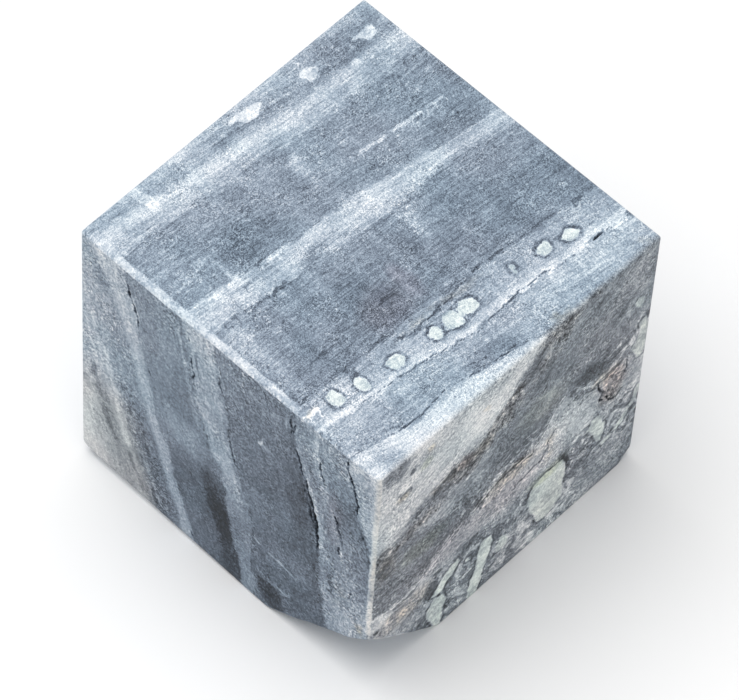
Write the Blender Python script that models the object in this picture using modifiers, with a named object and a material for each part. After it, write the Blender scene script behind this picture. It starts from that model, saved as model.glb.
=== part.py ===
"""A marble block: banded blue-grey stone sawn to a cube, with eased arrises, chips and open
fissures along its bedding, and the front corner of its base knocked off.

The block stands on its sawn base at Z = 0, centred on X and Y. The left face looks along -X,
the right face along -Y, and they meet in the front arris, which runs down into the break.
"""

import math

import bmesh
import bpy
from mathutils import Matrix, Vector, noise

MM = 0.001

# Driving dimensions of the sawn block, in metres.
WIDTH = 100.0 * MM
DEPTH = 101.4 * MM
HEIGHT = 101.3 * MM

# Eased arrises: the leg of the flat that the front arris was dressed to, and the others as shares of it.
ARRIS = 1.6 * MM
TOP_ARRIS_SHARE = 0.5
SIDE_ARRIS_SHARE = 0.55
BASE_ARRIS_SHARE = 0.35

# The broken corner: how far the break runs along the left face's foot, along the right face's
# foot, and up the front arris.
BREAK_ALONG_LEFT = 36.0 * MM
BREAK_ALONG_RIGHT = 28.5 * MM
BREAK_UP = 25.5 * MM
BREAK_CROWN = 1.2 * MM
BREAK_ROUGHNESS = 0.7 * MM
BREAK_LUMP = 7.0 * MM
BREAK_CELLS = 26

# Worn foot of the left face: its height at the back corner, how far it reaches under the block
# there, and where along the face it runs out.
FOOT_WEAR_UP = 3.3 * MM
FOOT_WEAR_IN = 3.0 * MM
FOOT_WEAR_END_Y = -22.0 * MM

# Small corners of the base that are rubbed off, as the length cut from each edge.
LEFT_CORNER_RUB = 7.5 * MM
RIGHT_CORNER_RUB = 4.5 * MM

FISSURE_SEGMENTS = 1
SEED_OFFSET = Vector((3.1, 7.4, 1.9))

STONE_COLOUR = (0.36, 0.40, 0.45, 1.0)
STONE_ROUGHNESS = 0.55

LEFT_X = -WIDTH / 2
RIGHT_Y = -DEPTH / 2


def on_left(y, z):
    """A point of the left face, given in millimetres."""
    return Vector((LEFT_X, y * MM, z * MM))


def on_right(x, z):
    """A point of the right face, given in millimetres."""
    return Vector((x * MM, RIGHT_Y, z * MM))


def on_top(x, y):
    """A point of the top face, given in millimetres."""
    return Vector((x * MM, y * MM, HEIGHT))


# Open fissures: half-width in millimetres, and the way each runs over its face. They follow the
# bedding, which leans about fifteen degrees from upright on the left face.
FISSURES = {
    "left_main": (0.75, on_left, [(-21.6, 99), (-23, 90), (-25, 80), (-28.4, 71), (-31.2, 60), (-32.2, 47)]),
    "left_front": (0.45, on_left, [(-40.2, 99), (-40.6, 94), (-43.2, 88), (-44.2, 78)]),
    "left_split": (0.45, on_left, [(-36.4, 71), (-38.2, 65), (-39.3, 54)]),
    "left_middle": (0.40, on_left, [(13.3, 95), (12.8, 88), (11.0, 77)]),
    "left_back": (0.40, on_left, [(35.2, 98), (33, 90), (30.7, 80)]),
    "left_inner": (0.35, on_left, [(-1.2, 65), (-2.0, 60), (-3.6, 54)]),
    "top_lens": (0.40, on_top, [(-46, -41.5), (-35, -44), (-20, -43.6), (-10, -45.7), (0, -47.2)]),
    "top_bed": (0.40, on_top, [(-10, -36.2), (-3, -37.7), (8, -36.8), (20, -37.2), (32, -39.2)]),
    "top_slot": (0.50, on_top, [(37.5, -39.5), (41.5, -38.9)]),
    "right_swirl": (0.45, on_right, [(32.5, 54), (33.2, 46), (36.5, 41), (40.5, 41)]),
    "right_bed": (0.40, on_right, [(5, 39), (12, 40.6), (16.5, 50)]),
}

# Chips out of the arrises and pits in the right face: centre, and half-sizes along X, Y and Z,
# all in millimetres.
CHIPS = {
    "top_left_pale": ((-50.4, 14.5, 101.6), (1.5, 4.2, 1.4)),
    "top_left_ochre": ((-50.5, -27.0, 101.7), (1.7, 2.4, 1.5)),
    "top_left_back": ((-50.5, 37.5, 101.8), (1.4, 3.0, 1.3)),
    "top_right_mid": ((-4.0, -51.3, 101.8), (4.6, 1.5, 1.4)),
    "top_right_far": ((31.0, -51.4, 101.9), (5.2, 1.5, 1.5)),
    "side_right": ((50.5, -51.2, 64.0), (1.7, 1.6, 4.6)),
    "side_right_low": ((50.6, -51.3, 38.0), (1.6, 1.5, 3.4)),
    "foot_right": ((45.6, -51.3, -0.2), (2.4, 1.5, 1.9)),
    "arris_low": ((-50.6, -51.2, 29.5), (1.8, 1.8, 3.8)),
    "pit_upper": ((-35.8, -51.0, 92.4), (1.5, 1.2, 1.1)),
    "pit_lower": ((-40.2, -51.0, 86.4), (1.9, 1.2, 1.3)),
}
CHIP_FACETS = 2
CHIP_LUMP = 0.25


def new_collection(name):
    collection = bpy.data.collections.new(name)
    bpy.context.scene.collection.children.link(collection)
    return collection


def add_mesh_object(name, bm, collection):
    """Put a bmesh into a new object of a collection."""
    mesh = bpy.data.meshes.new(name)
    bm.to_mesh(mesh)
    bm.free()
    thing = bpy.data.objects.new(name, mesh)
    collection.objects.link(thing)
    return thing


def mark_as_cutter(cutter):
    cutter.hide_render = True
    cutter.display_type = "WIRE"


def stone_material():
    material = bpy.data.materials.new("marble")
    material.use_nodes = True
    shader = material.node_tree.nodes["Principled BSDF"]
    shader.inputs["Base Color"].default_value = STONE_COLOUR
    shader.inputs["Roughness"].default_value = STONE_ROUGHNESS
    shader.inputs["Metallic"].default_value = 0.0
    return material


def arris_share(edge):
    """How wide an edge of the box is dressed, as a share of the front arris."""
    middle = (edge.verts[0].co + edge.verts[1].co) / 2
    upright = abs(edge.verts[0].co.z - edge.verts[1].co.z) > HEIGHT / 2
    if upright:
        is_front = middle.x < 0 and middle.y < 0
        return 1.0 if is_front else SIDE_ARRIS_SHARE
    return TOP_ARRIS_SHARE if middle.z > HEIGHT / 2 else BASE_ARRIS_SHARE


def shave(bm, point, outward):
    """Saw off what lies beyond a plane, and close the cut."""
    geometry = bm.verts[:] + bm.edges[:] + bm.faces[:]
    cut = bmesh.ops.bisect_plane(
        bm, geom=geometry, dist=0.00001, plane_co=point, plane_no=outward, clear_outer=True
    )
    rim = [item for item in cut["geom_cut"] if isinstance(item, bmesh.types.BMEdge)]
    bmesh.ops.holes_fill(bm, edges=rim)


def rub_base_corner(bm, side_x, side_y, length):
    """Take the tip off one corner of the base."""
    outward = Vector((side_x, side_y, -1.0)).normalized()
    corner = Vector((side_x * WIDTH / 2, side_y * DEPTH / 2, 0.0))
    shave(bm, corner - Vector((side_x * length / 2, 0.0, 0.0)), outward)


def wear_left_foot(bm):
    """Wear the foot of the left face down, most at the back and nothing past the middle."""
    back = Vector((LEFT_X, DEPTH / 2, FOOT_WEAR_UP))
    under = Vector((LEFT_X + FOOT_WEAR_IN, DEPTH / 2, 0.0))
    runs_out = Vector((LEFT_X, FOOT_WEAR_END_Y, 0.0))
    outward = (under - back).cross(runs_out - back).normalized()
    if outward.x > 0:
        outward.negate()
    shave(bm, back, outward)


def sawn_block(collection):
    """The sawn cube, with its worn foot and its eased arrises."""
    bm = bmesh.new()
    bmesh.ops.create_cube(bm, size=1.0)
    bmesh.ops.scale(bm, vec=(WIDTH, DEPTH, HEIGHT), verts=bm.verts)
    bmesh.ops.translate(bm, vec=(0.0, 0.0, HEIGHT / 2), verts=bm.verts)
    weight = bm.edges.layers.float.new("bevel_weight_edge")
    for edge in bm.edges:
        edge[weight] = arris_share(edge)
    block = add_mesh_object("marble_block", bm, collection)
    easing = block.modifiers.new("eased arrises", "BEVEL")
    easing.limit_method = "WEIGHT"
    easing.width = ARRIS
    easing.segments = 2
    easing.profile = 0.42
    return block


def wear(block):
    """Make the eased mesh real, then wear its foot and two corners of its base."""
    graph = bpy.context.evaluated_depsgraph_get()
    bm = bmesh.new()
    bm.from_object(block, graph)
    wear_left_foot(bm)
    rub_base_corner(bm, -1, 1, LEFT_CORNER_RUB)
    rub_base_corner(bm, 1, -1, RIGHT_CORNER_RUB)
    block.modifiers.clear()
    bm.to_mesh(block.data)
    bm.free()


def break_frame():
    """Where the break's plane lies: its middle, and axes with the third pointing out of the stone."""
    corner = Vector((LEFT_X, RIGHT_Y, 0.0))
    left = corner + Vector((0.0, BREAK_ALONG_LEFT, 0.0))
    right = corner + Vector((BREAK_ALONG_RIGHT, 0.0, 0.0))
    top = corner + Vector((0.0, 0.0, BREAK_UP))
    outward = (right - left).cross(top - left).normalized()
    if outward.z > 0:
        outward.negate()
    across = (right - left).normalized()
    upward = outward.cross(across)
    middle = (left + right + top) / 3
    turn = Matrix((across, upward, outward)).transposed()
    return Matrix.Translation(middle) @ turn.to_4x4()


def break_height(x, y, reach):
    """How far the fresh break stands out at a point: a low crown with ripples and hackles."""
    crown = BREAK_CROWN * (1.0 - (x * x + y * y) / (reach * reach))
    spot = Vector((x, y, 0.0)) / BREAK_LUMP + SEED_OFFSET
    lumps = noise.fractal(spot, 0.9, 2.1, 4)
    return crown + BREAK_ROUGHNESS * lumps


def broken_corner(collection):
    """The cutter that takes the front corner off the base, with the rough break on its inner side."""
    reach = BREAK_ALONG_LEFT * 1.1
    bm = bmesh.new()
    bmesh.ops.create_grid(bm, x_segments=BREAK_CELLS, y_segments=BREAK_CELLS, size=reach)
    for vert in bm.verts:
        vert.co.z = break_height(vert.co.x, vert.co.y, reach)
    cutter = add_mesh_object("broken_corner_cutter", bm, collection)
    cutter.matrix_world = break_frame()
    body = cutter.modifiers.new("body", "SOLIDIFY")
    body.thickness = BREAK_UP * 1.6
    body.offset = 1.0
    return cutter


def fissure(name, half_width, path, collection):
    """The cutter of one open fissure: a thin tube along the face that tapers to both ends."""
    curve = bpy.data.curves.new(name, "CURVE")
    curve.dimensions = "3D"
    curve.bevel_depth = half_width * MM
    curve.bevel_resolution = FISSURE_SEGMENTS
    curve.use_fill_caps = True
    line = curve.splines.new("POLY")
    line.points.add(len(path) - 1)
    for index, place in enumerate(path):
        line.points[index].co = (*place, 1.0)
        along = index / (len(path) - 1)
        line.points[index].radius = 0.35 + 0.65 * math.sin(math.pi * along)
    tube = bpy.data.objects.new(name, curve)
    collection.objects.link(tube)
    bpy.context.view_layer.update()
    graph = bpy.context.evaluated_depsgraph_get()
    mesh = bpy.data.meshes.new_from_object(tube.evaluated_get(graph))
    bm = bmesh.new()
    bm.from_mesh(mesh)
    bmesh.ops.remove_doubles(bm, verts=bm.verts, dist=0.00001)
    bmesh.ops.recalc_face_normals(bm, faces=bm.faces)
    bm.to_mesh(mesh)
    bm.free()
    bpy.data.objects.remove(tube)
    cutter = bpy.data.objects.new(name + "_cutter", mesh)
    collection.objects.link(cutter)
    return cutter


def chip(name, centre, half_sizes, collection):
    """The cutter of one chip or pit: a small lumpy ball."""
    bm = bmesh.new()
    bmesh.ops.create_icosphere(bm, subdivisions=CHIP_FACETS, radius=1.0)
    middle = Vector(centre)
    for vert in bm.verts:
        swell = 1.0 + CHIP_LUMP * noise.noise(vert.co * 1.7 + middle)
        vert.co *= swell
    bmesh.ops.scale(bm, vec=Vector(half_sizes) * MM, verts=bm.verts)
    bmesh.ops.translate(bm, vec=middle * MM, verts=bm.verts)
    return add_mesh_object(name + "_cutter", bm, collection)


def cut_away(block, cutter):
    mark_as_cutter(cutter)
    cut = block.modifiers.new(cutter.name, "BOOLEAN")
    cut.operation = "DIFFERENCE"
    cut.solver = "EXACT"
    cut.object = cutter


def build():
    for thing in list(bpy.data.objects):
        bpy.data.objects.remove(thing)
    pieces = new_collection("marble block")
    cutters = new_collection("cutters")
    block = sawn_block(pieces)
    wear(block)
    block.data.materials.append(stone_material())
    cut_away(block, broken_corner(cutters))
    for name, (centre, half_sizes) in CHIPS.items():
        cut_away(block, chip(name, centre, half_sizes, cutters))
    for name, (half_width, on_face, points) in FISSURES.items():
        path = [on_face(*point) for point in points]
        cut_away(block, fissure(name, half_width, path, cutters))


build()
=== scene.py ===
import math

import bpy
import numpy as np
from mathutils import Matrix, Vector, noise


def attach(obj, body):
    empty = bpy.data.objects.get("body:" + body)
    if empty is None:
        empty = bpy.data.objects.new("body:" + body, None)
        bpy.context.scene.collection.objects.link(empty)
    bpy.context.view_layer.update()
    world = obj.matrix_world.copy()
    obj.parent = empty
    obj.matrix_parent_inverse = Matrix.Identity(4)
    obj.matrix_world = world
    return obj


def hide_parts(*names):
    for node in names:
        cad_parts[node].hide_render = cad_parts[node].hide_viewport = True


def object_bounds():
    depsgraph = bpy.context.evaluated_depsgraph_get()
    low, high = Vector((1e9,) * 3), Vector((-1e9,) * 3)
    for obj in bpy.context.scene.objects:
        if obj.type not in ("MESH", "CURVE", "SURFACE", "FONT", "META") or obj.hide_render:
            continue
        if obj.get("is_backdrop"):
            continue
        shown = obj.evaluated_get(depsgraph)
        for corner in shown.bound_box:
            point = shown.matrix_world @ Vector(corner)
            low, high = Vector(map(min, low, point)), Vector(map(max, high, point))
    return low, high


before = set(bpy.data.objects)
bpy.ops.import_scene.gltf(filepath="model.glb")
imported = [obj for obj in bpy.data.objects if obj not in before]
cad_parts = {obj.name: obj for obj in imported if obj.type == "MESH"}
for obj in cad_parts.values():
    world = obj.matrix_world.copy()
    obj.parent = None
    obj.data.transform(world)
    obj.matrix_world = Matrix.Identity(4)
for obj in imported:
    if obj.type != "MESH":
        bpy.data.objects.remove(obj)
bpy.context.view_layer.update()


# ---------------------------------------------------------------- camera
# A long lens stands well back and high over the front arris, turned a little, so that
# the top and the two front faces show together with almost parallel edges.
AIM = Vector((0.0, -0.0007, 0.05))
TURN = math.radians(-49.597)
RISE = math.radians(57.254)
ROLL = math.radians(4.067)
STAND_OFF = 1.4329
SLIDE_RIGHT, SLIDE_UP = 0.00089, -0.00026
LENS = 276.83

level_right = Vector((math.cos(TURN), math.sin(TURN), 0.0))
backward = Vector((math.sin(TURN) * math.cos(RISE), -math.cos(TURN) * math.cos(RISE), math.sin(RISE)))
level_up = backward.cross(level_right)
right = math.cos(ROLL) * level_right + math.sin(ROLL) * level_up
up = math.cos(ROLL) * level_up - math.sin(ROLL) * level_right
place = AIM + STAND_OFF * backward + SLIDE_RIGHT * right + SLIDE_UP * up

camera = bpy.data.objects.new("camera", bpy.data.cameras.new("camera"))
bpy.context.scene.collection.objects.link(camera)
camera.matrix_world = Matrix(
    (
        (right.x, up.x, backward.x, place.x),
        (right.y, up.y, backward.y, place.y),
        (right.z, up.z, backward.z, place.z),
        (0.0, 0.0, 0.0, 1.0),
    )
)
camera.data.lens = LENS
camera.data.sensor_width = 36.0
camera.data.clip_start = 0.1
camera.data.clip_end = 20.0
bpy.context.scene.camera = camera


# ---------------------------------------------------------------- the marble block
# A cube sawn from grey-blue banded marble, its faces honed and its arrises rubbed by
# handling. One lower corner is broken off, and the beds have opened into thin fissures
# on the sawn faces. Sizes here are in millimetres, as on the maker's rule.
WIDE, DEEP, TALL = 100.0, 101.4, 101.3
MM = 0.001
ARRIS = 1.5
CUTS_ALONG = 78

bpy.ops.object.select_all(action="DESELECT")
bpy.ops.mesh.primitive_cube_add(
    size=1.0, location=(0, 0, TALL / 2 * MM), scale=(WIDE * MM, DEEP * MM, TALL * MM)
)
block = bpy.context.object
block.name = block.data.name = "sawn_marble"
bpy.ops.object.transform_apply(location=True, rotation=True, scale=True)

# The arrises: the front one is rubbed widest, the top ones less, the base ones least.
shares = block.data.attributes.new("bevel_weight_edge", "FLOAT", "EDGE")
for edge in block.data.edges:
    a, b = (block.data.vertices[i].co for i in edge.vertices)
    middle = (a + b) / 2 / MM
    if middle.z > TALL - 1:
        share = 0.5 if middle.x < 1 - WIDE / 2 else 0.32
    elif middle.z < 1:
        share = 0.3
    else:
        share = 1.0 if middle.x < 0 and middle.y < 0 else 0.5
    shares.data[edge.index].value = share
bevel = block.modifiers.new("rubbed arrises", "BEVEL")
bevel.limit_method = "WEIGHT"
bevel.width = ARRIS * MM
bevel.segments = 3
bevel.profile = 0.5
bpy.ops.object.modifier_apply(modifier=bevel.name)

# Every long edge gets the same number of cuts, which lays an even grid over the faces.
bpy.context.tool_settings.mesh_select_mode = (False, True, False)
for edge in block.data.edges:
    a, b = (block.data.vertices[i].co for i in edge.vertices)
    edge.select = (a - b).length > WIDE / 2 * MM
bpy.ops.object.mode_set(mode="EDIT")
bpy.ops.mesh.select_mode(type="EDGE")
bpy.ops.mesh.subdivide(number_cuts=CUTS_ALONG)
bpy.ops.object.mode_set(mode="OBJECT")

# Each face with a pattern of its own, as a sheet of paper: its two axes, the axis across it,
# where it stands on that axis, and which way is out.
FACES = {
    "top": (0, 1, 2, TALL, 1),
    "left": (1, 2, 0, -WIDE / 2, -1),
    "right": (0, 2, 1, -DEEP / 2, -1),
}


def laid_on(face, spots):
    """The spots as places on that face, and how deep each lies under it."""
    across, upward, through, stand, out = FACES[face]
    return spots[:, [across, upward]], (stand - spots[:, through]) * out


def from_line(flat, line):
    """How far each place is from a drawn line, how far along it, 0 to 1, and on which side."""
    ends = np.array(line, float)
    steps = np.diff(ends, axis=0)
    lengths = np.linalg.norm(steps, axis=1)
    run = np.concatenate([[0.0], np.cumsum(lengths)])
    near = np.full(len(flat), 1e9)
    along = np.zeros(len(flat))
    side = np.ones(len(flat))
    for start, step, length, before in zip(ends, steps, lengths, run):
        share = np.clip((flat - start) @ step / length**2, 0, 1)
        gap = np.linalg.norm(flat - start - share[:, None] * step, axis=1)
        closer = gap < near
        near[closer] = gap[closer]
        along[closer] = (before + share * length)[closer] / run[-1]
        turn = step[0] * (flat - start)[:, 1] - step[1] * (flat - start)[:, 0]
        side[closer] = np.where(turn < 0, -1.0, 1.0)[closer]
    # past its ends a line has no sides
    return near, along, np.where((along <= 0) | (along >= 1), 1.0, side)


def from_outline(flat, outline):
    """How far each place is outside a closed outline, below nought inside it."""
    ring = list(outline) + [outline[0]]
    gap = from_line(flat, ring)[0]
    inside = np.zeros(len(flat), bool)
    for (x0, y0), (x1, y1) in zip(ring, ring[1:]):
        spans = (y0 > flat[:, 1]) != (y1 > flat[:, 1])
        rise = y1 - y0 if y1 != y0 else 1e-9
        inside ^= spans & (flat[:, 0] < x0 + (flat[:, 1] - y0) * (x1 - x0) / rise)
    return np.where(inside, -gap, gap)


def lumps(spots, size, seed):
    """Smooth unevenness from -1 to 1, its lumps about `size` millimetres across."""
    return np.array([noise.noise(s) for s in (spots / size + seed * 17.3).tolist()])


def pushed(spots, size, seed):
    """Smooth unevenness along all three axes, which bends whatever is drawn on the stone."""
    return np.stack([lumps(spots, size, seed + axis) for axis in range(3)], axis=1)


def eased(values, low, high):
    """0 below low, 1 above high, smooth between."""
    t = np.clip((values - low) / (high - low), 0, 1)
    return t * t * (3 - 2 * t)


# Fissures on each face: half width and depth, then the line as drawn on the face.
FISSURES = {
    "left": (
        (0.45, 0.9, ((34.6, 95.5), (33.5, 91), (32.2, 88.5), (31.3, 85.5), (30.6, 80.5))),
        (0.25, 0.4, ((27, 65.5), (26.3, 63))), (0.3, 0.4, ((11.6, 6.3), (10.5, 4))),
        (0.22, 0.4, ((13.6, 95.5), (13, 92.6))), (0.35, 0.6, ((12.6, 86.5), (11.8, 82), (11.2, 77.5))),
        (0.3, 0.4, ((2.9, 88), (2.2, 85), (1.3, 82))), (0.28, 0.5, ((-1.2, 65.5), (-2, 60), (-3.5, 54.5))),
        (0.3, 0.5, ((-22.5, 96.5), (-22.3, 90.5))),
        (0.42, 1.1, ((-23.2, 86), (-24.5, 82), (-25.3, 79), (-27, 75), (-28.4, 70.5))),
        (0.3, 0.5, ((-26.5, 72.5), (-28.3, 66), (-29.6, 61), (-31.2, 55.5))),
        (0.3, 0.4, ((-21.4, 98.5), (-21, 95), (-22, 92), (-21.4, 89))),
        (0.6, 0.9, ((-28.4, 71), (-30, 65), (-31, 60), (-31.8, 55), (-32, 50), (-32.2, 46.5))),
        (0.35, 0.7, ((-31.2, 88.5), (-32, 84), (-32.9, 79.5))),
        (0.4, 0.8, ((-36.4, 71.5), (-37.7, 68), (-39, 63), (-40.3, 59.5))),
        (0.35, 0.8, ((-39, 59), (-39.3, 53))), (0.25, 0.5, ((-43.9, 43.5), (-43.6, 37.5))),
        (0.4, 0.7, ((-40.2, 99.5), (-40.2, 95), (-42, 91), (-43.3, 87), (-44.3, 83), (-44, 77.5))),
        (0.3, 0.5, ((-45.4, 73), (-47.1, 69.5))), (0.2, 0.25, ((-12, 99.5), (-13.6, 94), (-15, 88.5))),
    ),
    "top": (
        (0.2, 0.3, ((-40, -31.8), (-33, -32.5), (-27, -33), (-18.5, -34.3), (-10, -36), (-3, -37.7))),
        (0.22, 0.35, ((-3, -37.7), (8, -36.8), (20, -37.2), (23, -38), (28, -38.7), (32, -39.2))),
        (0.38, 0.8, ((37.3, -39.6), (39.5, -39.2), (41.7, -38.8))),
        (0.2, 0.3, ((-47, -41), (-43, -42.3), (-35, -44), (-28, -44.2), (-20, -43.5), (-14, -44.3))),
        (0.22, 0.35, ((-14, -44.3), (-10, -45.7), (-5, -46.3), (0, -47.2))),
        (0.18, 0.25, ((-19, -25.5), (-16, -26.5), (-14, -27), (-10, -26.5), (0, -26.5), (5, -25.5),
         (13, -25))),
    ),
    "right": (
        (0.4, 0.6, ((31.5, 55), (32.4, 51), (34, 48), (33.4, 44.5), (36, 43.5), (37.4, 40.4), (40, 39.4),
         (42, 41.6))),
        (0.3, 0.4, ((42, 41.6), (41.4, 46), (43, 50), (42.6, 56))),
        (0.3, 0.4, ((3, 39.4), (6, 38.8), (9.5, 40.4), (12, 39.8), (14, 43), (13.6, 46), (16.6, 50))),
    ),
}

# The lost lower corner and the worn foot: a plane through the sound stone, the way the
# stone went, and how rough the break is.
CROWN_REACH = 39.6
LOST = (
    # three corners of the plane, the way the stone went, crown, roughness, lump size
    (((-50, -14.7, 0), (-21.5, -50.7, 0), (-50, -50.7, 25.5)), (-0.62, -0.62, -0.48), 1, 0.8, 6),
    (((-50, -50.7, 25.9), (-43.1, -57.9, 26.3), (-45.9, -47.2, 17.5)), (-0.62, -0.62, -0.48), 0, 0.6, 2.5),
    (((-50, 50.7, 3.3), (-47, 50.7, 0), (-50, -22, 0)), (-0.7, 0, -0.71), 0, 0.15, 4),
    (((-45, 50.7, 0), (-50, 45.7, 0), (-50, 50.7, 5)), (-0.58, 0.58, -0.58), 0, 0.15, 3),
    (((45.5, -50.7, 0), (50, -46.2, 0), (50, -50.7, 4.5)), (0.58, -0.58, -0.58), 0, 0.15, 3),
)


def select_faces_near(reach):
    """Selects the faces of the block that lie within `reach` of a fissure or a broken edge."""
    count = len(block.data.polygons)
    centres = np.empty(count * 3)
    block.data.polygons.foreach_get("center", centres)
    centres = centres.reshape(-1, 3) / MM
    near = np.full(count, 1e9)
    for face, fissures in FISSURES.items():
        flat, depth = laid_on(face, centres)
        here = depth < 2.0
        for half, deep, line in fissures:
            near[here] = np.minimum(near[here], from_line(flat[here], line)[0])
    a, b, c = (np.array(p) for p in LOST[0][0])
    across = np.cross(b - a, c - a)
    across *= np.sign(across @ np.array(LOST[0][1])) / np.linalg.norm(across)
    above = (centres - a) @ across
    near = np.where(above > -1.5, np.minimum(near, np.maximum(0.0, above * 0.15)), near)
    front_arris = np.hypot(centres[:, 0] + WIDE / 2, centres[:, 1] + DEEP / 2)
    left_arris = np.hypot(centres[:, 0] + WIDE / 2, centres[:, 2] - TALL)
    near = np.minimum(near, np.minimum(front_arris, left_arris) * 0.5)
    picked = near < reach
    # points and edges are cleared first, so that only the picked faces are selected
    block.data.vertices.foreach_set("select", np.zeros(len(block.data.vertices), bool))
    block.data.edges.foreach_set("select", np.zeros(len(block.data.edges), bool))
    block.data.polygons.foreach_set("select", picked)


bpy.context.tool_settings.mesh_select_mode = (False, False, True)
for reach in (2.4, 1.3):
    select_faces_near(reach)
    bpy.ops.object.mode_set(mode="EDIT")
    bpy.ops.mesh.subdivide(number_cuts=1, ngon=False)
    bpy.ops.object.mode_set(mode="OBJECT")

spots = np.empty(len(block.data.vertices) * 3)
block.data.vertices.foreach_get("co", spots)
spots = spots.reshape(-1, 3) / MM

# The broken corner and the worn places: stone beyond the plane is gone, and what is left
# lies on the plane, rough where it broke.
broken = np.zeros(len(spots))
for corners, way, crown, rough, size in LOST:
    a, b, c = (np.array(p) for p in corners)
    middle = (a + b + c) / 3
    across = np.cross(b - a, c - a)
    across /= np.linalg.norm(across)
    way = np.array(way) / np.linalg.norm(way)
    across *= np.sign(across @ way)
    near = (spots - a) @ across > -3.0
    found = spots[near]
    height = (found - a) @ across
    spread = np.linalg.norm(found - middle - height[:, None] * across, axis=1)
    uneven = lumps(found, size, 3) + 0.5 * lumps(found, size / 2.7, 4) + 0.25 * lumps(found, size / 7, 5)
    inward = 0.25 + 0.75 * eased(height, 0.5, 4.0)
    bulge = crown * (1 - (spread / CROWN_REACH) ** 2) + rough * uneven * inward
    above = height - bulge
    # the edge of the break is rounded over a quarter of a millimetre
    gone = 0.25 * np.logaddexp(0.0, above / 0.25)
    spots[near] -= (gone / (way @ across))[:, None] * way
    broken[near] = np.maximum(broken[near], eased(above, -0.5, 0.4) * (1.0 if rough > 0.5 else 0.3))

# Fissures: a ragged groove pressed in from the face.
fissure_dirt_and_shade = np.zeros(len(spots))
fissure_rim_highlight = np.zeros(len(spots))
wander = pushed(spots, 2.6, 11) * 0.5 + pushed(spots, 0.9, 14) * 0.4
pressed = np.zeros((len(spots), 3))
for face, fissures in FISSURES.items():
    depth = laid_on(face, spots)[1]
    here = depth < 2.0
    wandered = laid_on(face, spots + wander)[0][here]
    through, out = FACES[face][2], FACES[face][4]
    cover = 1 - eased(depth[here], 0.6, 1.6)
    swelling = 1 + 0.9 * lumps(spots[here], 1.7, 21)
    open_or_shut = 0.4 + 0.6 * eased(lumps(spots[here], 3.0, 22), -0.3, 0.0)
    for half, deep, line in fissures:
        gap, along = from_line(wandered, line)[:2]
        taper = np.sqrt(np.clip(np.sin(np.pi * np.clip(along, 0.0, 1.0)), 0.0, 1.0)) * 0.85 + 0.15
        wide = half * 0.85 * taper * swelling
        shape = np.clip(1 - (gap / np.maximum(wide, 0.05)) ** 2, 0, 1)
        ends = eased(along, 0.0, 0.02) * (1 - eased(along, 0.98, 1.0)) * open_or_shut
        dent = shape * deep * taper * cover * ends
        before = pressed[here, through]
        pressed[here, through] = np.where(dent > np.abs(before), -out * dent, before)
        # how dark the fissure is painted: partly dirt in it, partly painted shade down in the groove
        dark = (1 - eased(gap, wide * 0.7, wide * 1.25)) * ends * cover * min(1.0, 0.25 + deep / 0.9)
        fissure_dirt_and_shade[here] = np.maximum(fissure_dirt_and_shade[here], dark)
        # a painted highlight along the rim of each fissure, where its edge would catch the light
        painted_rim_highlight = (1 - eased(gap, wide * 1.2, wide * 1.2 + 0.8)) * ends * cover * min(1.0, deep / 0.6)
        fissure_rim_highlight[here] = np.maximum(fissure_rim_highlight[here], painted_rim_highlight)
spots += pressed

# The left top arris is rubbed down to a narrow slope, lowest along its middle.
SLOPE_WIDE, SLOPE_DEEP = 2.3, 0.4
inwards = (spots[:, 0] + WIDE / 2) / SLOPE_WIDE
slope = np.clip(1 - inwards, 0, 1) * eased(spots[:, 2], TALL - 0.8, TALL - 0.3)
worn = eased(spots[:, 1], -50, -30) * (1 - eased(spots[:, 1], 40, 50)) * 0.6 + 0.4
spots[:, 2] -= SLOPE_DEEP * slope * worn * (1 + 0.5 * lumps(spots, 6.0, 31))

block.data.vertices.foreach_set("co", (spots * MM).ravel())
block.data.update()

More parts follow.
